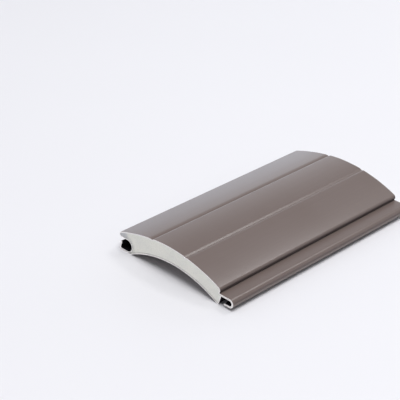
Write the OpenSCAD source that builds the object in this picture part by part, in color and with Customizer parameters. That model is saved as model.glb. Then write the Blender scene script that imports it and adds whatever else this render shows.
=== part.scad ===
// Roller shutter slat: a cut length of foam-filled, roll-formed aluminium profile.
// X runs across the slat from the nose to the hook, Y along its length, and Z up,
// with the slat lying on its foot and lip. The section is drawn in x and z from the
// middle of the face and the floor, then moved so that the origin is under the middle.

/* [Slat] */
// Length that the slat is cut to
slat_length = 101; // [40:1:400]
// Width of the visible face, from the nose to the shoulder
face_width = 55; // [45:0.5:65]
// Height of the crown of the face above the floor
slat_height = 13; // [11:0.1:15]
// Thickness of the aluminium strip
strip = 0.4; // [0.3:0.05:0.5]

/* [Face] */
// Height of the edge of the face at the shoulder above the floor
shoulder_edge = 6.9; // [6.2:0.05:8]
// Outer radius of the shoulder
shoulder_radius = 1.3; // [0.8:0.1:1.6]
// Height of the edge of the face at the nose above the pocket's ceiling
nose_depth = 1.9; // [1.1:0.05:2.4]
// Rise of the flatter panel between the nose and the first groove above its chord
nose_bulge = 0.47; // [0.2:0.01:0.7]
// Distance from the nose to the first bead groove
groove_start = 18.7; // [14:0.1:22]
// Distance between the two bead grooves
groove_pitch = 18.2; // [12:0.1:22]
// Width of a bead groove pressed into the face
groove_width = 1.9; // [1:0.1:2.6]
// Depth of a bead groove
groove_depth = 0.4; // [0.1:0.05:0.6]

/* [Underside] */
// Height of the hollow under the slat
belly_height = 6; // [4:0.1:8]
// Width of the heel between the pocket's middle and the hollow
heel_width = 1.9; // [1.6:0.1:3]
// Outer radius of the bend at the foot
foot_radius = 0.8; // [0.6:0.05:1]
// Width of the flat under the foot
foot_flat = 0.25; // [0.1:0.05:1]

/* [Pocket] */
// Radius of the pocket under the nose
pocket_radius = 2.5; // [2.3:0.05:2.8]
// Distance from the nose to the middle of the pocket
pocket_setback = 4.4; // [4:0.1:6]
// Inner radius of the bend in the lip below the pocket
lip_bend = 0.5; // [0.3:0.05:0.8]
// Distance from the nose to the middle of that bend
lip_setback = 1; // [0.6:0.05:1.4]
// Lean of the lip towards the pocket, in degrees
lip_lean = 20; // [5:1:30]
// Height of the lip's edge above the floor
lip_height = 3.95; // [3.6:0.05:4.2]

/* [Hook] */
// Play between the shelf and the edge of the next slat's lip
shelf_play = 0.1; // [0.05:0.05:0.5]
// Play between the hook and the floor of the next slat's pocket
floor_play = 0.2; // [0.1:0.05:0.8]
// Play between the hook and the back of the next slat's pocket
back_play = 0.3; // [0.1:0.05:1]
// Length of the flat return under the hook, with its round edge
return_length = 2.7; // [1:0.1:3]
// Radius in the corner between the shoulder and the shelf
step_radius = 0.2; // [0.1:0.05:0.7]
// Reach of the wall under the shelf past the shoulder
wall_reach = 0.75; // [0.3:0.05:1.2]
// Lean of that wall towards the hook, in degrees
wall_lean = 20; // [5:1:30]

/* [Hidden] */
$fn = 96;

// The lip and the hook are the strip folded flat on itself
fold = 2 * strip;
pocket_top = fold + 2 * pocket_radius;
face_half = face_width / 2;
face_radius = arc_radius(face_half, slat_height - shoulder_edge);
face_centre = [0, slat_height - face_radius];

// The nose panel runs from the first groove down to the nose, on a flatter arc
groove_x = groove_start - face_half;
groove_slope = atan(2 * groove_depth / groove_width);
panel_top = [groove_x, face_centre[1] + sqrt(pow(face_radius, 2) - pow(groove_x, 2))];
panel_edge = [-face_half, pocket_top + nose_depth];
panel_chord = panel_top - panel_edge;
panel_radius = arc_radius(norm(panel_chord) / 2, nose_bulge);
panel_normal = [-panel_chord[1], panel_chord[0]] / norm(panel_chord);
panel_centre = (panel_top + panel_edge) / 2 - (panel_radius - nose_bulge) * panel_normal;

pocket_centre = [pocket_setback - face_half, fold + pocket_radius];
// The two layers of the lip part where the foam between them is this thick
foam_edge = 0.2;
parting_radius = pocket_radius + strip;
parting = pocket_centre[0] + sqrt(pow(parting_radius, 2) - pow(parting_radius - foam_edge, 2));
lip_outer = lip_bend + fold;
lip_centre = [lip_setback - face_half, lip_outer];
lip_rise = lip_height - strip - lip_outer - (lip_bend + strip) * sin(lip_lean);
lip_length = lip_rise / cos(lip_lean) + strip;

hook_reach = pocket_setback + pocket_radius - back_play;
shelf_height = lip_height + shelf_play + fold;
hook_radius = (shelf_height - fold - floor_play) / 2;
hook_inner = hook_radius - fold;
hook_centre = [face_half + hook_reach - hook_radius, shelf_height - hook_radius];
seam_height = shelf_height - strip;
wall_top = [face_half + wall_reach, seam_height];

// The foot touches the floor and the wall under the shelf
foot_centre = [wall_x(foot_radius, foot_radius), foot_radius];

// The hollow runs from the heel to the foot
belly_left = pocket_centre[0] + heel_width;
belly_right = foot_centre[0] - foot_flat;
belly_radius = arc_radius((belly_right - belly_left) / 2, belly_height);
belly_centre = [(belly_left + belly_right) / 2, belly_height - belly_radius];

// The nose touches its panel, the pocket's ceiling and the edge of the face width
nose_corner = [-face_half, pocket_top] - panel_centre;
nose_sum = nose_corner[0] + nose_corner[1] + panel_radius;
nose_radius = sqrt(pow(nose_sum, 2) + pow(panel_radius, 2) - nose_corner * nose_corner) - nose_sum;
nose_centre = [nose_radius - face_half, pocket_top + nose_radius];
nose_angle = angle_of(nose_centre - panel_centre);

// The shoulder touches the face and the edge of the face width
shoulder_side = face_half - shoulder_radius;
shoulder_rise = sqrt(pow(face_radius - shoulder_radius, 2) - pow(shoulder_side, 2));
shoulder_centre = face_centre + [shoulder_side, shoulder_rise];
shoulder_angle = angle_of(shoulder_centre - face_centre);

// The box round the section is centred on the origin
left_end = min(-face_half, lip_centre[0] - lip_outer);
right_end = face_half + hook_reach;
middle = (left_end + right_end) / 2;
// Cuts and limits reach this far past the section
beyond = slat_height + face_width;
// The arc of a rounded corner is this much larger, so that it crosses the sides
blend = 0.003;

// Radius of an arc from half its chord and its rise
function arc_radius(half_chord, rise) = (pow(half_chord, 2) + pow(rise, 2)) / (2 * rise);
function angle_of(v) = atan2(v[1], v[0]);
function along(angle, distance) = distance * [cos(angle), sin(angle)];
// The wall under the shelf at height z, moved inwards by the inset
function wall_x(z, inset) = wall_top[0] + (z - wall_top[1]) * tan(wall_lean) - inset / cos(wall_lean);

// The part of the plane between two directions, from a corner at the origin
module wedge(from, to) {
    polygon([[0, 0], along(from, beyond), along((from + to) / 2, beyond), along(to, beyond)]);
}

// Rounds the corner of a section between two directions from the middle of its arc
module round_corner(centre, radius, from, to) {
    difference() {
        children();
        translate(centre) difference() {
            wedge(from, to);
            circle(radius + blend);
        }
    }
}

// Puts a bend of folded strip between two directions in place of what lies there
module bend_strip(centre, inner, from, to) {
    difference() {
        children();
        translate(centre) wedge(from, to);
    }
    translate(centre) difference() {
        intersection() {
            circle(inner + fold);
            wedge(from, to);
        }
        circle(inner);
    }
}

// A straight run of folded strip along +x that ends in a round edge
module hemmed_edge(length) {
    square([length - strip, fold]);
    translate([length - strip, strip]) intersection() {
        circle(strip);
        translate([0, -strip]) square(fold);
    }
}

// The space under the nose that takes the next slat's hook
module pocket(inset) {
    radius = pocket_radius + inset;
    translate(pocket_centre) {
        circle(radius);
        translate([-beyond, -radius]) square([beyond, 2 * radius]);
    }
}

// A bead groove square to the face, at a distance from the middle
module groove(x, inset) {
    rise = 2 * groove_depth + inset / cos(groove_slope);
    half = rise / tan(groove_slope);
    translate(face_centre) rotate(-asin(x / face_radius)) translate([0, face_radius + groove_depth])
        polygon([[-half, 0], [0, -rise], [half, 0]]);
}

// The flat limits of the filled section: floor, wall, seam, shoulder, and the parting at the lip
module limits(inset) {
    lip_side = parting - strip + inset;
    polygon([
        [lip_side, inset],
        [wall_x(inset, inset), inset],
        [wall_x(seam_height, inset), seam_height],
        [face_half - inset, seam_height],
        [face_half - inset, beyond],
        [-beyond, beyond],
        [-beyond, pocket_centre[1]],
        [lip_side, pocket_centre[1]]
    ]);
}

// The space under the two arcs of the face, which meet at the first groove
module under_face(inset) {
    intersection() {
        translate(panel_centre) circle(panel_radius - inset, $fn = 4 * $fn);
        translate([groove_x - beyond, 0]) square(beyond);
    }
    intersection() {
        translate(face_centre) circle(face_radius - inset, $fn = 4 * $fn);
        translate([groove_x, 0]) square(beyond);
    }
}

// The filled part of the section, with every wall moved inwards by the inset
module filled_section(inset) {
    round_corner(nose_centre, nose_radius - inset, nose_angle, 270)
    round_corner(shoulder_centre, shoulder_radius - inset, 0, shoulder_angle)
    round_corner(foot_centre, foot_radius - inset, -90, -wall_lean)
    difference() {
        intersection() {
            under_face(inset);
            limits(inset);
        }
        translate(belly_centre) circle(belly_radius + inset, $fn = 4 * $fn);
        pocket(inset);
        for (x = [groove_x, groove_x + groove_pitch]) groove(x, inset);
    }
}

// The lip under the pocket, which holds the next slat's hook
module lip_section() {
    bend_strip(lip_centre, lip_bend, 180 - lip_lean, 270) {
        difference() {
            translate([lip_centre[0], 0]) square([parting - lip_centre[0], pocket_centre[1]]);
            pocket(0);
        }
        translate(lip_centre) rotate(90 - lip_lean) translate([-lip_outer, lip_bend])
            hemmed_edge(lip_outer + lip_length);
    }
}

// The hook that goes into the next slat's pocket
module hook_section() {
    bend_strip(hook_centre, hook_inner, -90, 90) {
        translate([face_half - strip, shelf_height - fold])
            square([hook_centre[0] - face_half + strip, fold]);
        translate(hook_centre) rotate(180) translate([0, hook_inner]) hemmed_edge(return_length);
    }
    translate([face_half - strip, shelf_height - strip]) difference() {
        square(step_radius + strip);
        translate([step_radius + strip, step_radius + strip]) circle(step_radius);
    }
}

module cut_length() {
    translate([-middle, 0, 0]) rotate([90, 0, 0]) linear_extrude(slat_length, center = true) children();
}

// One strip of coated aluminium, roll-formed round the foam
module aluminium_skin() {
    color("#857A75") cut_length() {
        difference() {
            filled_section(0);
            filled_section(strip);
        }
        lip_section();
        hook_section();
    }
}

// Polyurethane foam that fills the closed part of the strip, sawn flush with it
module foam_core() {
    color("#D2D6CC") cut_length() filled_section(strip);
}

aluminium_skin();
foam_core();
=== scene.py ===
import math
import random

import bpy
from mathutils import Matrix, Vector, geometry, noise


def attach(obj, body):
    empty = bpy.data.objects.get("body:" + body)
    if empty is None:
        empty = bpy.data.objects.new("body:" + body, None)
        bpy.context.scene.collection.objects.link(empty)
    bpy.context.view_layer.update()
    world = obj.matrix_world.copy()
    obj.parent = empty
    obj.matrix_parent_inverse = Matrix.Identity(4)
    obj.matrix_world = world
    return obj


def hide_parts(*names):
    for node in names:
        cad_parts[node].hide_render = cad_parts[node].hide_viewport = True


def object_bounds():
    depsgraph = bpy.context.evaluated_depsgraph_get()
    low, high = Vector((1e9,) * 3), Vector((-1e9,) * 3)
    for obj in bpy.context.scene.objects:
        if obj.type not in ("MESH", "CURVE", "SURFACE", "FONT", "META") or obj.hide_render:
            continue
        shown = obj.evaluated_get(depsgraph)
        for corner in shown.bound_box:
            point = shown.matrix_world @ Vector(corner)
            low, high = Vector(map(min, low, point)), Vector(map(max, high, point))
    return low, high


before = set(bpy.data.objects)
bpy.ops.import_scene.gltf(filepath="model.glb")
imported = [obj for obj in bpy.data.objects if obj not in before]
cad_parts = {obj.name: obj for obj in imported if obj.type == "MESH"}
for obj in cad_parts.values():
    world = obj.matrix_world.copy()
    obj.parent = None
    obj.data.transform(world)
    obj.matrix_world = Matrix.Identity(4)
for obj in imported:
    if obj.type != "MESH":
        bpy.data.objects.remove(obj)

cad_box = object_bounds()


# THE SKIN
# One strip of coil-coated aluminium, roll-formed into a bowed face with two bead grooves, a
# pocket under the nose and a hook past the shoulder. The lip of the pocket and the hook are
# the strip folded flat on itself, and both ends are sawn square and show bare metal.

MM = 0.001
low, high = cad_box
slat_length = (high.y - low.y) / MM
slat_height = (high.z - low.z) / MM

# The section is drawn in millimetres, in x from the middle of the face and z from the floor.
# A vector of the section holds these two as its x and y. Angles are in degrees.
fold, fold_gap = 0.8, 0.03
strip = (fold - fold_gap) / 2
face_half = 27.5
shoulder_edge, shoulder_radius = 6.9, 1.3
nose_depth, nose_bulge = 1.9, 0.47
groove_places = (-8.8, 9.4)
groove_width, groove_depth = 1.9, 0.4
groove_shoulder, groove_root = 1.7, 0.25
panel_slope, panel_shoulder = 17, 6.0
pocket_radius, pocket_setback = 2.5, 4.4
lip_bend, lip_setback, lip_lean, lip_height = 0.5, 1.0, 20, 3.95
belly_height, heel_width, heel_radius = 6.0, 1.9, 0.8
foot_radius, foot_flat = 0.8, 0.25
shelf_height, step_radius = 4.85, 0.2
hook_reach, hook_radius, return_length = 6.6, 1.925, 2.7
wall_reach, wall_lean, wall_radius = 0.75, 20, 0.3
seam_reach = 1.6
# An arc strays this far from its chords at most, and no more than this share of its radius.
arc_flatness, arc_share = 0.0012, 0.02


def along(angle, distance):
    """The vector of that length in a direction."""
    turn = math.radians(angle)
    return Vector((math.cos(turn), math.sin(turn))) * distance


def angle_of(vector):
    return math.degrees(math.atan2(vector.y, vector.x))


def arc_radius(half_chord, rise):
    return (half_chord ** 2 + rise ** 2) / (2 * rise)


def bend(centre, radius, start, end):
    """Points of a bend in the strip with the direction out of the slat at each of them.

    A bend that turns anticlockwise bulges outwards, and one that turns clockwise is hollow.
    """
    step = 2 * math.degrees(math.acos(1 - min(arc_flatness / radius, arc_share)))
    count = max(2, math.ceil(abs(end - start) / step))
    side = 1 if end > start else -1
    turns = [start + (end - start) * i / count for i in range(count + 1)]
    return [(centre + along(turn, radius), along(turn, side)) for turn in turns]


def roll_off(bottom, out, wall, shoulder, arc):
    """The middle of the bend between a groove's wall and an arc of the face."""
    centre, radius = arc
    start = bottom - along(out, shoulder) - centre
    reach = start.dot(along(wall, 1))
    distance = math.sqrt(reach ** 2 - start.length_squared + (radius - shoulder) ** 2) - reach
    return centre + start + along(wall, distance)


def groove(place, nose_arc, nose_slope, nose_shoulder):
    """The bends of a bead groove, and the directions out of the face where they start and end."""
    tilt = -math.degrees(math.asin(place / face_radius))
    bottom = face_centre + along(90 + tilt, face_radius - groove_depth)
    first, last = 90 + tilt + groove_slope, 90 + tilt - nose_slope
    hook_side = roll_off(bottom, first, first - 90, groove_shoulder, (face_centre, face_radius))
    nose_side = roll_off(bottom, last, last + 90, nose_shoulder, nose_arc)
    root = groove_root / math.cos(math.radians((first - last) / 2))
    start, end = angle_of(hook_side - face_centre), angle_of(nose_side - nose_arc[0])
    bends = (
        bend(hook_side, groove_shoulder, start, first)
        + bend(bottom + along((first + last) / 2, root), groove_root, first + 180, last + 180)
        + bend(nose_side, nose_shoulder, last, end)
    )
    return start, bends, end


groove_slope = math.degrees(math.atan2(2 * groove_depth, groove_width))
pocket_top = fold + 2 * pocket_radius
pocket_centre = Vector((pocket_setback - face_half, fold + pocket_radius))
face_radius = arc_radius(face_half, slat_height - shoulder_edge)
face_centre = Vector((0, slat_height - face_radius))
shoulder_side = face_half - shoulder_radius
shoulder_rise = math.sqrt((face_radius - shoulder_radius) ** 2 - shoulder_side ** 2)
shoulder_centre = face_centre + Vector((shoulder_side, shoulder_rise))
shoulder_angle = angle_of(shoulder_centre - face_centre)

# The panel next to the nose is flatter than the rest of the face.
groove_top = math.sqrt(face_radius ** 2 - groove_places[0] ** 2)
panel_top = face_centre + Vector((groove_places[0], groove_top))
panel_edge = Vector((-face_half, pocket_top + nose_depth))
panel_chord = panel_top - panel_edge
panel_radius = arc_radius(panel_chord.length / 2, nose_bulge)
panel_normal = Vector((-panel_chord.y, panel_chord.x)).normalized()
panel_centre = (panel_top + panel_edge) / 2 - (panel_radius - nose_bulge) * panel_normal
nose_corner = Vector((-face_half, pocket_top)) - panel_centre
nose_sum = nose_corner.x + nose_corner.y + panel_radius
nose_radius = math.sqrt(
    nose_sum ** 2 + panel_radius ** 2 - nose_corner.length_squared) - nose_sum
nose_centre = Vector((nose_radius - face_half, pocket_top + nose_radius))
nose_angle = angle_of(nose_centre - panel_centre)

first_start, first_groove, first_end = groove(
    groove_places[0], (panel_centre, panel_radius), panel_slope, panel_shoulder)
second_start, second_groove, second_end = groove(
    groove_places[1], (face_centre, face_radius), groove_slope, groove_shoulder)

hook_centre = Vector((face_half + hook_reach - hook_radius, shelf_height - hook_radius))
hook_inner = hook_radius - fold
return_tip = hook_centre - Vector((return_length - fold / 2, hook_inner + fold / 2))
step_drop = shoulder_centre.y - shelf_height - step_radius
step_side = math.sqrt((shoulder_radius + step_radius) ** 2 - step_drop ** 2)
step_centre = shoulder_centre + Vector((step_side, -step_drop))
step_angle = angle_of(step_centre - shoulder_centre)
lip_outer = lip_bend + fold
lip_centre = Vector((lip_setback - face_half, lip_outer))
lip_start = lip_centre + along(180 - lip_lean, lip_bend + fold / 2)
lip_rise = lip_height - fold / 2 - lip_start.y
lip_tip = lip_start + along(90 - lip_lean, lip_rise / math.cos(math.radians(lip_lean)))


def wall_place(height, gap):
    """A place beside the wall under the shelf, at that height and gap from it."""
    lean = math.radians(wall_lean)
    from_top = height - (shelf_height - fold / 2)
    across = face_half + wall_reach + from_top * math.tan(lean)
    return Vector((across + gap / math.cos(lean), height))


foot_centre = wall_place(foot_radius, -foot_radius)
wall_centre = wall_place(shelf_height - fold - wall_radius, wall_radius)
belly_left = pocket_centre.x + heel_width
belly_right = foot_centre.x - foot_flat
belly_radius = arc_radius((belly_right - belly_left) / 2, belly_height)
belly_centre = Vector(((belly_left + belly_right) / 2, belly_height - belly_radius))
heel_rise = heel_radius - belly_centre.y
heel_reach = math.sqrt((belly_radius + heel_radius) ** 2 - heel_rise ** 2)
heel_centre = belly_centre + Vector((-heel_reach, heel_rise))
toe_centre = belly_centre + Vector((heel_reach, heel_rise))
heel_angle = angle_of(heel_centre - belly_centre)
seam = Vector((wall_centre.x + seam_reach, shelf_height - fold))

# Painted shade in the crease under the shoulder goes this far along the shelf and up the shoulder,
# fades over this height, and there is this much of it at most.
crease_spread, crease_rise, crease_fade, crease_most = 0.1, 1.9, 0.9, 0.5
# Painted shade lies along the hook's outermost line, standing in for a dark reflection: at this
# angle of its bend, this many degrees to both sides, and this much at most.
hook_line_angle, hook_line_spread, hook_line_most = 15, 17, 0.32

# The strip's outer side is followed from the seam under the shelf, round the hook, over the
# face, through the pocket and the lip, and back along the underside to the seam.
hook_run = (
    [(seam + Vector((fold_gap / 2, 0)), along(-90, 1))]
    + bend(hook_centre, hook_inner, 90, -90)
    + bend(return_tip, fold / 2, 90, 270)
    + bend(hook_centre, hook_radius, -90, 90)
    + [(Vector((step_centre.x + crease_spread, shelf_height)), along(90, 1))]
)
face_run = (
    bend(step_centre, step_radius, 270, 180 + step_angle)
    + bend(shoulder_centre, shoulder_radius, step_angle, shoulder_angle)
    + bend(face_centre, face_radius, shoulder_angle, second_start)
    + second_groove
    + bend(face_centre, face_radius, second_end, first_start)
    + first_groove
    + bend(panel_centre, panel_radius, first_end, nose_angle)
    + bend(nose_centre, nose_radius, nose_angle, 270)
)
pocket_run = bend(pocket_centre, pocket_radius, 90, -90)
lip_run = (
    bend(lip_centre, lip_bend, 270, 180 - lip_lean)
    + bend(lip_tip, fold / 2, -lip_lean, 180 - lip_lean)
    + bend(lip_centre, lip_outer, 180 - lip_lean, 270)
)
belly_run = (
    bend(heel_centre, heel_radius, -90, heel_angle - 180)
    + bend(belly_centre, belly_radius, heel_angle, 180 - heel_angle)
    + bend(toe_centre, heel_radius, -heel_angle, -90)
    + bend(foot_centre, foot_radius, -90, -wall_lean)
    + bend(wall_centre, wall_radius, 180 - wall_lean, 90)
)
seam_end = [(seam - Vector((fold_gap / 2, 0)), along(-90, 1))]
skin_run = hook_run + face_run + pocket_run + lip_run + belly_run + seam_end

# The slat's middle is not the face's middle, because the hook reaches past the shoulder.
middle = (face_half + hook_reach + lip_centre.x - lip_outer) / 2

# Painted shade lies on what faces the middle of the pocket and of the hook, below a height and
# within a reach, and fades out at that reach.
shaded_spaces = (
    (pocket_centre, pocket_top + 0.1, 5.2),
    (hook_centre - Vector((1.2, 0)), shelf_height - fold / 2, 6.2),
)
shade_fade, shade_turn = 0.8, 3


def in_frame(point, y=0.0):
    """A point of the section in the slat's own frame, in metres."""
    return Vector(((point.x - middle) * MM, y, point.y * MM))


def pocket_hook_shade(point, out):
    """How much painted shade a point of the strip gets in the pocket and the hook, from 0 to 1."""
    most = 0.0
    for space, top, reach in shaded_spaces:
        way = space - point
        if point.y < top and way.length < reach:
            facing = min(1.0, shade_turn * out.dot(way) / way.length)
            most = max(most, facing * min(1.0, (reach - way.length) / shade_fade))
    return most


def crease_shade(point):
    """How much painted shade a point of the strip gets in the crease under the shoulder, from 0 to
    1.
    """
    if point.x < shoulder_centre.x or point.y < shelf_height - fold / 2:
        return 0.0
    if point.y > step_centre.y:
        share = (step_centre.y + crease_rise - point.y) / crease_fade
    else:
        share = (step_centre.x + crease_spread - point.x) / (crease_spread + step_radius)
    return max(0.0, crease_most * min(1.0, share))


def hook_line_shade(point):
    """How much painted shade a point of the strip gets on the outermost line of the hook, from 0 to
    1.
    """
    way = point - hook_centre
    if way.x < 0 or way.length < hook_radius - fold / 2:
        return 0.0
    return max(0.0, hook_line_most * (1 - abs(angle_of(way) - hook_line_angle) / hook_line_spread))


def plain_mesh(name, points, edges, faces):
    mesh = bpy.data.meshes.new(name)
    mesh.from_pydata(points, edges, faces)
    return mesh


def put(name, data):
    """A new object in the scene."""
    made = bpy.data.objects.new(name, data)
    bpy.context.scene.collection.objects.link(made)
    return made


class Wire:
    """An output of a node, so that maths on it is written as arithmetic."""

    def __init__(self, graph, socket):
        self.graph, self.socket = graph, socket

    def other(self, name):
        return Wire(self.graph, self.socket.node.outputs[name])

    def maths(self, operation, *terms):
        return self.graph.node("ShaderNodeMath", {"operation": operation}, dict(enumerate(terms)))

    def floor(self):
        return self.maths("FLOOR", self)

    def at_least(self, value):
        return self.maths("MAXIMUM", self, value)

    def at_most(self, value):
        return self.maths("MINIMUM", self, value)

    def __add__(self, value):
        return self.maths("ADD", self, value)

    def __sub__(self, value):
        return self.maths("SUBTRACT", self, value)

    def __rsub__(self, value):
        return self.maths("SUBTRACT", value, self)

    def __mul__(self, value):
        return self.maths("MULTIPLY", self, value)

    def __truediv__(self, value):
        return self.maths("DIVIDE", self, value)

    def __gt__(self, value):
        return self.maths("GREATER_THAN", self, value)

    def __abs__(self):
        return self.maths("ABSOLUTE", self)

    def __neg__(self):
        return self * -1

    __radd__, __rmul__ = __add__, __mul__


class Graph:
    """A node tree that is built up by adding nodes with their settings and inputs."""

    def __init__(self, tree):
        self.tree = tree

    def node(self, kind, settings=None, inputs=None):
        """Adds a node and gives its first output. A list of wires goes into one input."""
        made = self.tree.nodes.new(kind)
        for name, value in (settings or {}).items():
            setattr(made, name, value)
        for name, value in (inputs or {}).items():
            for one in value if isinstance(value, list) else [value]:
                if isinstance(one, Wire):
                    self.tree.links.new(one.socket, made.inputs[name])
                else:
                    made.inputs[name].default_value = one
        return Wire(self, made.outputs[0]) if made.outputs else None

    def axes(self, vector):
        """The three parts of a vector."""
        split = self.node("ShaderNodeSeparateXYZ", inputs={0: vector})
        return split, split.other("Y"), split.other("Z")

    def ramp(self, value, start, end):
        """The value from 0 at the start to 1 at the end, smoothly."""
        return self.node("ShaderNodeMapRange", {"interpolation_type": "SMOOTHSTEP"}, {
            "Value": value, "From Min": start, "From Max": end})

    def mix(self, factor, first, second):
        """A colour between two, each given as red, green and blue or as a wire."""
        first, second = (c if isinstance(c, Wire) else (*c, 1) for c in (first, second))
        return self.node("ShaderNodeMix", {"data_type": "RGBA"}, {
            0: factor, 6: first, 7: second}).other(2)


class Finish(Graph):
    """A material for one piece or one kind of surface."""

    def __init__(self, name):
        self.material = bpy.data.materials.new(name)
        self.material.use_nodes = True
        super().__init__(self.material.node_tree)
        self.tree.nodes.clear()

    def place(self, scale=(1, 1, 1)):
        """Object coordinates, in metres, with a scale along each axis."""
        return self.node("ShaderNodeMapping", {"vector_type": "POINT"}, {
            "Vector": self.node("ShaderNodeTexCoord").other("Object"), "Scale": scale})

    def attribute(self, name):
        return self.node("ShaderNodeAttribute", {"attribute_name": name}).other("Fac")

    def noise(self, place, scale, detail=2.0, roughness=0.5):
        return self.node("ShaderNodeTexNoise", {"noise_dimensions": "3D"}, {
            "Vector": place, "Scale": scale, "Detail": detail, "Roughness": roughness})

    def bump(self, height, distance, strength=1.0):
        return self.node("ShaderNodeBump", inputs={
            "Height": height, "Distance": distance, "Strength": strength})

    def shader(self, **inputs):
        return self.node("ShaderNodeBsdfPrincipled", inputs={
            name.replace("_", " "): value for name, value in inputs.items()})

    def surface(self, shader):
        self.node("ShaderNodeOutputMaterial", inputs={"Surface": shader})
        return self.material


# Satin brown-grey paint, baked on the strip before it is formed: cloudy, with faint lines
# along the slat from the rolls, and chipped in places along the sawn edges.
brown, light_brown = (0.166, 0.1265, 0.1125), (0.174, 0.1345, 0.121)
line_brown, bare_metal = (0.157, 0.120, 0.107), (0.72, 0.72, 0.73)
coat = Finish("coated_aluminium")
coat_place = coat.place()
cloud = coat.noise(coat_place, 38, 3)
lines = coat.noise(coat.place((1, 0.01, 1)), 1400, 2)
peel = coat.noise(coat_place, 1500, 1)
chips = coat.noise(coat_place, 2600, 3, 0.6)
knocked = coat.ramp(coat.noise(coat_place, 150, 1), 0.42, 0.6)
# Chips reach some tenths of a millimetre in from the saw cut, further where it was knocked.
from_end = slat_length / 2 - abs(coat.axes(coat_place)[1]) / MM
chipped = coat.ramp(0.5 * chips + 0.2 * knocked - from_end, 0.33, 0.4)
painted = coat.mix(coat.ramp(cloud, 0.3, 0.7), brown, light_brown)
painted = coat.mix(coat.ramp(lines, 0.25, 0.75) * 0.35, painted, line_brown)
enamel = coat.shader(
    Base_Color=coat.mix(chipped, painted, bare_metal),
    Metallic=chipped,
    Roughness=0.255 + 0.03 * lines + 0.05 * cloud - 0.05 * chipped,
    IOR=1.5,
    Normal=coat.bump(peel + 0.2 * lines, 0.006 * MM),
)

# Painted shade, dull and nearly black, in the pocket, the hook, the crease and along the hook's
# outermost line. Inside the pocket and the hook there is less of it away from the ends of the slat.
black, dark_grey = (0.008, 0.007, 0.010), (0.016, 0.014, 0.018)
shade_paint = coat.shader(
    Base_Color=coat.mix(coat.ramp(chips, 0.3, 0.7), black, dark_grey),
    Roughness=0.8 + 0.15 * chips,
    IOR=1.15,
)
shade_fading = 0.65 * coat.ramp(from_end + 10 * cloud, 13, 27)
# The share of painted shade: in the pocket and the hook, in the crease and along the hook's
# outermost line.
shade_amount = (coat.attribute("dirt") * (1 - shade_fading)).at_least(coat.attribute("dirty_line"))
coated_aluminium = coat.surface(
    coat.node("ShaderNodeMixShader", inputs={0: shade_amount, 1: enamel, 2: shade_paint}))

# Bare metal at the saw cut, with fine scratches from the blade.
cut_grey, cut_bright = (0.90, 0.87, 0.85), (0.97, 0.94, 0.92)
cut = Finish("cut_aluminium")
scratches = cut.noise(cut.place((0.04, 1, 1)), 5200, 3, 0.6)
smears = cut.noise(cut.place(), 700, 2)
cut_aluminium = cut.surface(cut.shader(
    Base_Color=cut.mix(cut.ramp(smears, 0.3, 0.7), cut_grey, cut_bright),
    Metallic=1.0,
    Roughness=0.3 + 0.2 * scratches,
    Normal=cut.bump(scratches, 0.01 * MM),
))

route = plain_mesh(
    "skin_route", [in_frame(p) for p, out in skin_run],
    [(i, i + 1) for i in range(len(skin_run) - 1)], [])
route.attributes.new("inward", "FLOAT_VECTOR", "POINT").data.foreach_set(
    "vector", [c for p, out in skin_run for c in (-out.x, 0, -out.y)])
# The route carries how much painted shade each point of the strip gets.
for name, values in (
        ("dirt", [pocket_hook_shade(p, out) for p, out in skin_run]),
        ("dirty_line", [max(crease_shade(p), hook_line_shade(p)) for p, out in skin_run])):
    route.attributes.new(name, "FLOAT", "POINT").data.foreach_set("value", values)
skin = put("rolled_skin", route)

# The tree sweeps the route of the strip along the slat and gives it the strip's thickness,
# with a small chamfer where the saw has cut it.
skin_sizes = {
    "Length": ("NodeSocketFloat", slat_length * MM),
    "Thickness": ("NodeSocketFloat", strip * MM),
    "Chamfer": ("NodeSocketFloat", 0.03 * MM),
    "Route Points": ("NodeSocketInt", len(skin_run)),
    "Rings": ("NodeSocketInt", 27),
}
sharp_angle = 32
tree = bpy.data.node_groups.new("rolled_strip", "GeometryNodeTree")
tree.interface.new_socket("Geometry", in_out="INPUT", socket_type="NodeSocketGeometry")
for name, (kind, value) in skin_sizes.items():
    tree.interface.new_socket(name, in_out="INPUT", socket_type=kind)
tree.interface.new_socket("Geometry", in_out="OUTPUT", socket_type="NodeSocketGeometry")
roll = Graph(tree)
given = roll.node("NodeGroupInput")
length, thickness, chamfer, route_points, rings = (given.other(name) for name in skin_sizes)

# A grid has one column for each point of the route and one row for each ring of the slat.
grid = roll.node("GeometryNodeMeshGrid", inputs={"Vertices X": route_points, "Vertices Y": rings})
index = roll.node("GeometryNodeInputIndex")
column = ((index + 0.5) / rings).floor()
ring = index - column * rings
spacing = (length - 2 * chamfer) / (rings - 3)
y = (spacing * (ring - 1) + chamfer - length / 2).at_least(length / -2).at_most(length / 2)


def stored(name, kind="FLOAT_VECTOR"):
    return roll.node("GeometryNodeInputNamedAttribute", {"data_type": kind}, {"Name": name})


def on_route(kind, value):
    """A value at the point of the route that a grid point belongs to."""
    return roll.node("GeometryNodeSampleIndex", {"data_type": kind, "domain": "POINT"}, {
        "Geometry": given, "Value": value, "Index": column})


def keep(mesh, name, kind, value):
    return roll.node("GeometryNodeStoreNamedAttribute", {"data_type": kind, "domain": "POINT"}, {
        "Geometry": mesh, "Name": name, "Value": value})


def moved(start, direction, distance):
    """A place reached from a start by going a distance along a direction."""
    return roll.node("ShaderNodeVectorMath", {"operation": "MULTIPLY_ADD"}, {
        0: direction, 1: distance, 2: start})


def set_in(mesh, depth):
    """The mesh at a depth under the strip's outer side."""
    return roll.node("GeometryNodeSetPosition", inputs={
        "Geometry": mesh, "Position": moved(stored("outer"), stored("inward"), depth)})


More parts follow.
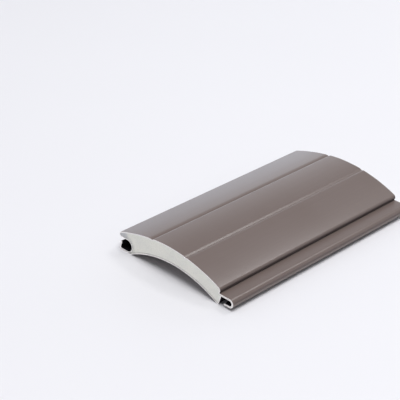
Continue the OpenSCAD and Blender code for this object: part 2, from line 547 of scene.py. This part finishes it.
outer = moved(on_route("FLOAT_VECTOR", roll.node("GeometryNodeInputPosition")), (0, 1, 0), y)
sheet = keep(grid, "inward", "FLOAT_VECTOR", on_route("FLOAT_VECTOR", stored("inward")))
sheet = keep(sheet, "outer", "FLOAT_VECTOR", outer)
sheet = keep(sheet, "cut", "FLOAT", abs(y) > length / 2 - chamfer / 2)
# Each ring takes the painted shade of its point of the route.
for name in ("dirt", "dirty_line"):
    sheet = keep(sheet, name, "FLOAT", on_route("FLOAT", stored(name, "FLOAT")))
sheet = roll.node("GeometryNodeSetPosition", inputs={"Geometry": sheet, "Position": outer})
edge_depth = chamfer * stored("cut", "FLOAT")
inside = roll.node("GeometryNodeExtrudeMesh", {"mode": "FACES"}, {
    "Mesh": sheet, "Offset": stored("inward"), "Offset Scale": thickness, "Individual": False})
on_top = inside.other("Top") * 1.0
inside = set_in(inside, on_top * (thickness - edge_depth) + (1 - on_top) * edge_depth)
outside = roll.node("GeometryNodeFlipFaces", inputs={"Mesh": set_in(sheet, edge_depth)})
joined = roll.node("GeometryNodeJoinGeometry", inputs={0: [outside, inside]})
closed = roll.node("GeometryNodeMergeByDistance", inputs={"Geometry": joined, "Distance": 1e-7})
smooth = roll.node("GeometryNodeSetShadeSmooth", {"domain": "FACE"}, {
    "Geometry": closed, "Shade Smooth": True})
sharp = roll.node("GeometryNodeInputMeshEdgeAngle") > math.radians(sharp_angle)
smooth = roll.node("GeometryNodeSetShadeSmooth", {"domain": "EDGE"}, {
    "Geometry": smooth, "Selection": sharp, "Shade Smooth": False})
real = roll.node("GeometryNodeRealizeInstances", inputs={0: smooth})
coated = roll.node("GeometryNodeSetMaterial", inputs={0: real, "Material": coated_aluminium})
lengthways = roll.axes(roll.node("GeometryNodeInputPosition"))[1]
sawn = roll.node("GeometryNodeSetMaterial", inputs={
    0: coated, "Selection": abs(lengthways) > length / 2 - chamfer * 0.75,
    "Material": cut_aluminium})
roll.node("NodeGroupOutput", inputs={0: sawn})

modifier = skin.modifiers.new("rolled_strip", "NODES")
modifier.node_group = tree
for socket in tree.interface.items_tree:
    if socket.name in skin_sizes:
        modifier[socket.identifier] = skin_sizes[socket.name][1]
bpy.context.view_layer.update()
rolled = skin.evaluated_get(bpy.context.evaluated_depsgraph_get())
skin.data = bpy.data.meshes.new_from_object(rolled)
skin.modifiers.clear()
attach(skin, "root")
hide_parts("aluminium_skin")


# THE FOAM
# Hard polyurethane foam, poured into the strip while it is formed, which fills the closed part
# of the section and sticks to it. The saw that cut the slat left its ends open-pored, and torn
# along the underside and beside the pocket.

foam_edge, shortest_rim = 0.15, 0.004
rim_depth, least_depth = 0.1, 0.01
point_spacing, point_jitter, point_seed = 0.17, 0.3, 11
pore_depth, pore_density, pore_sharpness = 0.09, 1.9, 2.4
saw_depth, saw_density = 0.02, 2.2
tear_depth, tear_density = 0.22, 1.4
tear_height, tear_width, tear_reach = 0.2, 0.35, 1.8
# The patterns at the two ends of the slat are taken from places this far from the middle.
pores_apart, tears_apart = 40, 30


def inside_of(run):
    return [p - out * strip for p, out in run]


pocket_side = [
    p for p in inside_of(pocket_run)
    if (p.x > pocket_centre.x or p.y > pocket_centre.y) and p.y > strip + foam_edge]
tip = Vector((pocket_side[-1].x, strip))
foam_outline = inside_of(face_run) + pocket_side + [tip] + inside_of(belly_run)
foam_outline = [
    p for i, p in enumerate(foam_outline) if (p - foam_outline[i - 1]).length > shortest_rim]

# The sawn ends are covered with triangles between the outline and points spread inside it.
draw = random.Random(point_seed)
columns = math.ceil(2 * face_half / point_spacing) + 4
rows = math.ceil(slat_height / point_spacing)
spread = [
    Vector((
        (i + 0.5 * (j % 2) + draw.uniform(-point_jitter, point_jitter)) * point_spacing - face_half,
        (j + draw.uniform(-point_jitter, point_jitter)) * point_spacing))
    for i in range(columns) for j in range(rows)]
rim = [(i, (i + 1) % len(foam_outline)) for i in range(len(foam_outline))]
flat, _, triangles, *_ = geometry.delaunay_2d_cdt(
    foam_outline + spread, rim, [list(range(len(foam_outline)))], 1, 1e-5)


def sawn_depth(point, end):
    """How deep a point of a sawn end lies under the plane of the cut, in millimetres."""
    place = Vector((point.x, point.y, pores_apart * end))
    near, _ = noise.voronoi(place * pore_density, distance_metric="DISTANCE")
    pore = max(0.0, 1 - near[0] * pore_sharpness) * (0.6 + 0.4 * noise.noise(place * 0.6))
    slanted = Vector((place.x * 0.3 + place.y, place.y * 0.2, place.z))
    ripple = 0.5 + 0.5 * noise.noise(slanted * saw_density)
    return least_depth + pore_depth * pore + saw_depth * ripple


def torn(point, end):
    """How torn the foam is at a point of a sawn end, from 0 to 1."""
    below = (point - belly_centre).length - belly_radius - strip
    beside = (point - pocket_centre).length - pocket_radius - strip
    place = Vector((point.x, point.y, tears_apart * end))
    patch = 0.6 + 0.8 * noise.noise(place * tear_density)
    line = max(0.0, 1 - abs(below - tear_height) / tear_width)
    edge = max(0.0, 1 - beside / tear_reach)
    return min(1.0, max(0.0, 0.7 * line + edge * patch))


on_rim = set(range(len(foam_outline)))
used = sorted(on_rim | {i for face in triangles for i in face})
number = {i: n for n, i in enumerate(used)}
foam_points, foam_faces, tears = [], [], []
for end in (-1, 1):
    first = len(foam_points)
    for i in used:
        tears.append(torn(flat[i], end))
        depth = rim_depth if i in on_rim else sawn_depth(flat[i], end) + tear_depth * tears[-1]
        foam_points.append(in_frame(flat[i], end * (slat_length / 2 - depth) * MM))
    for face in triangles:
        foam_faces.append([first + number[i] for i in (face if end < 0 else reversed(face))])
far_end = len(used)
foam_faces += [[j, i, far_end + i, far_end + j] for i, j in rim]

# Pale foam with small cells cut open, greyed at the tip of the nose and dark where it is torn.
cream, light_cream, cell_shade = (0.84, 0.838, 0.77), (0.89, 0.878, 0.80), (0.56, 0.555, 0.505)
nose_grey, tear_grey = (0.54, 0.54, 0.565), (0.36, 0.36, 0.35)
foam_finish = Finish("foam")
foam_place = foam_finish.place()
fine = foam_finish.noise(foam_place, 2600, 3, 0.65)
broad = foam_finish.noise(foam_place, 160, 2)
cells = foam_finish.node("ShaderNodeTexVoronoi", {"feature": "F1"}, {
    "Vector": foam_place, "Scale": 3900})
cell_edge = foam_finish.ramp(cells + 0.5 * fine, 0.25, 0.8)
foam_colour = foam_finish.mix(foam_finish.ramp(broad, 0.3, 0.7), cream, light_cream)
foam_colour = foam_finish.mix(0.45 * (1 - cell_edge), foam_colour, cell_shade)
noseward = -foam_finish.axes(foam_place)[0] / MM
greyed = foam_finish.ramp(noseward - 0.8 * broad, 24.6, 27.2)
foam_colour = foam_finish.mix(0.85 * greyed, foam_colour, nose_grey)
foam_material = foam_finish.surface(foam_finish.shader(
    Base_Color=foam_finish.mix(0.6 * foam_finish.attribute("torn"), foam_colour, tear_grey),
    Roughness=0.85 + 0.1 * fine,
    Normal=foam_finish.bump(fine + cell_edge, 0.03 * MM, 0.7),
))

foam = put("foam_fill", plain_mesh("foam_fill", foam_points, [], foam_faces))
foam.data.attributes.new("torn", "FLOAT", "POINT").data.foreach_set("value", tears)
foam.data.materials.append(foam_material)
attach(foam, "root")
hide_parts("foam_core")


# THE FLOOR
# A plain white sheet of card that the slat lies on, much larger than the slat,
# with a dull surface and hardly any pattern.

floor_half = 3.0
sheet_white, sheet_light = (0.835, 0.828, 0.85), (0.85, 0.843, 0.865)
floor = put("floor", plain_mesh("floor", [
    (-floor_half, -floor_half, 0), (floor_half, -floor_half, 0),
    (floor_half, floor_half, 0), (-floor_half, floor_half, 0)], [], [(0, 1, 2, 3)]))
card = Finish("white_sheet")
floor.data.materials.append(card.surface(card.shader(
    Base_Color=card.mix(card.noise(card.place(), 9, 2), sheet_white, sheet_light),
    Roughness=0.55,
)))


# THE LIGHT
# A white room that is brightest low down behind the slat, and darker higher up and low down
# on the right, with a small soft lamp high behind the slat and a large soft one above it.

room_tint, low_tint = (0.97, 0.985, 1.04), (0.90, 1.0, 1.14)
world = bpy.data.worlds.new("white_room")
world.use_nodes = True
world.node_tree.nodes.clear()
room = Graph(world.node_tree)
right, back, up = room.axes(room.node("ShaderNodeTexCoord"))
low_band = room.ramp(back, 0.3, 0.5) * (1 - room.ramp(up, 0.04, 0.28))
low_band = low_band * (1 - room.ramp(right, 0.4, 0.7))
low_right = room.ramp(right, 0.5, 0.8) * (1 - room.ramp(up, 0.2, 0.5))
wall_light = 0.74 + 0.52 * room.ramp(back, 0.52, 0.70) + 0.72 * low_band
wall_light = wall_light * (1 - 0.35 * room.ramp(right, 0.1, 0.7)) * (1 - 0.6 * low_right)
wall_light = wall_light * (1 - 0.66 * room.ramp(up, 0.36, 0.58))
ceiling = room.ramp(up, 0.84, 0.90)
back_panel = room.ramp(up, 0.66, 0.78) * room.ramp(back, 0.4, 0.55)
back_panel = back_panel * room.ramp(right, -0.38, -0.16) * (1 - room.ramp(right, -0.1, 0.2))
room.node("ShaderNodeOutputWorld", inputs={"Surface": room.node("ShaderNodeBackground", inputs={
    "Color": room.mix(low_band, room_tint, low_tint),
    "Strength": wall_light + 0.6 * ceiling + 0.65 * back_panel})})
bpy.context.scene.world = world

for name, direction, distance, size, power in (
        ("back_lamp", (0.16, 0.54, 0.815), 0.9, 0.22, 1.05),
        ("overhead_lamp", (0.24, -0.12, 1.0), 2.0, 1.3, 21.9)):
    lamp = put(name, bpy.data.lights.new(name, "AREA"))
    lamp.data.shape, lamp.data.size, lamp.data.energy = "DISK", size, power
    lamp.location = Vector(direction).normalized() * distance
    lamp.rotation_euler = Vector(direction).to_track_quat("Z", "Y").to_euler()
bpy.context.scene.view_settings.view_transform = "Standard"


# THE CAMERA
# A long lens, set up above the corner between the near end and the hook, which looks down
# on the slat from a little over half a metre away.

camera = put("camera", bpy.data.cameras.new("camera"))
camera.data.sensor_width, camera.data.lens = 36, 113.53
camera.location = (0.2930, -0.32151, 0.2533)
camera.rotation_euler = [math.radians(angle) for angle in (61.185, -0.13, 45.919)]
bpy.context.scene.camera = camera
